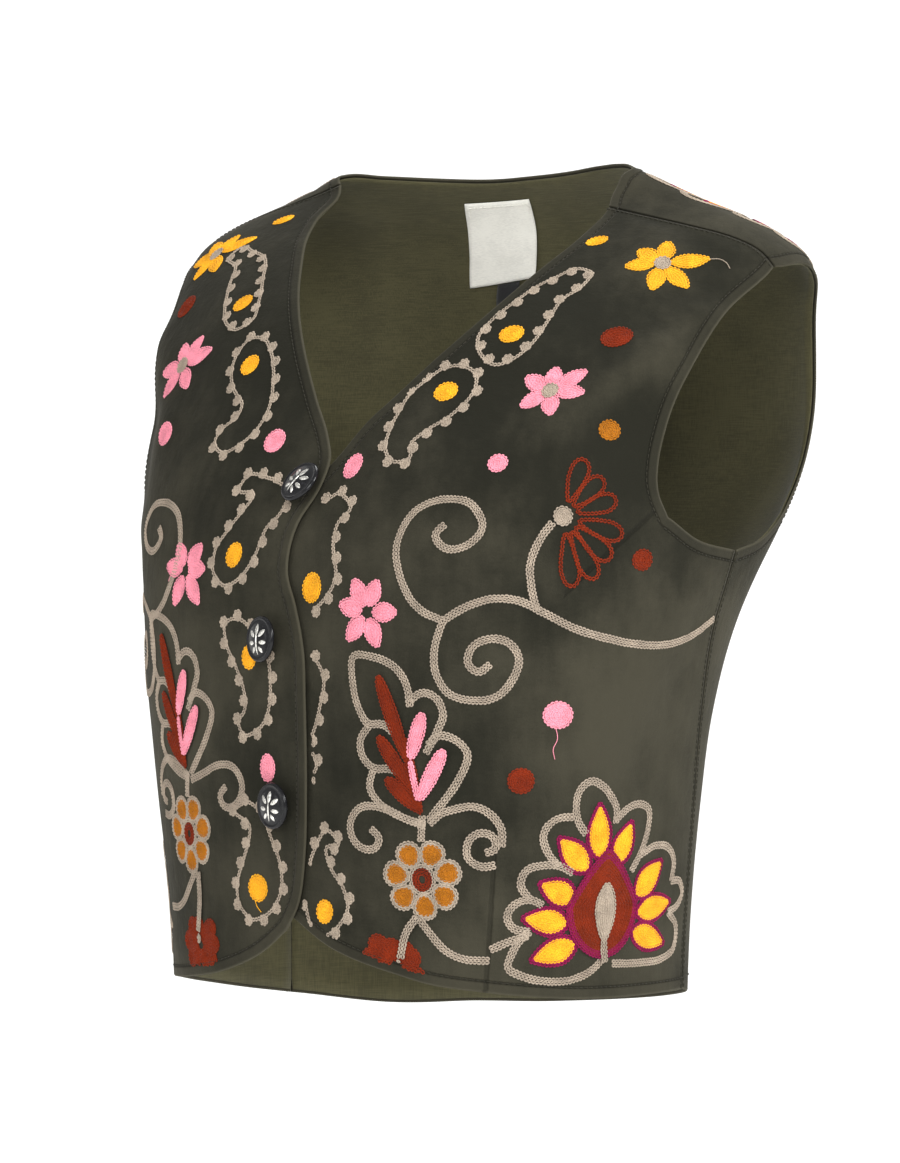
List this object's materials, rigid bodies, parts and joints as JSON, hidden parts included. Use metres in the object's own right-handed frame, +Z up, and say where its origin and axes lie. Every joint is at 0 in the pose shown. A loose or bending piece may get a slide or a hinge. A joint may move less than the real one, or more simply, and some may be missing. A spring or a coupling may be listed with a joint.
{
  "type": "embroidered waistcoat",
  "caption": "Hip-length V-neck waistcoat in dark velvet with a cotton lining, buttoned down the front and filled out as worn.",
  "frame": {"origin": "middle of the line between the neck ends of the two shoulders, where the wearer carries the waistcoat", "axes": "+Z up, the front faces -Y, +X points to the wearer's left side"},
  "size_m": [0.3654, 0.2623, 0.4497],
  "materials": {
    "velvet": "short-pile cotton velvet, dark olive grey",
    "lining": "plain-woven cotton, dark olive",
    "button_black": "polished black",
    "label_cream": "woven satin label, cream",
    "tab_black": "woven tape, black",
    "thread": "stranded cotton chain stitch, matt",
    "silver_inlay": "worn silver"
  },
  "bodies": {
    "root": {"front_left": "velvet", "front_right": "velvet", "back": "velvet", "back_lining": "lining", "neck_label": "label_cream", "size_tab": "tab_black", "button_top": "button_black", "button_middle": "button_black", "button_bottom": "button_black"}
  },
  "joints": []
}
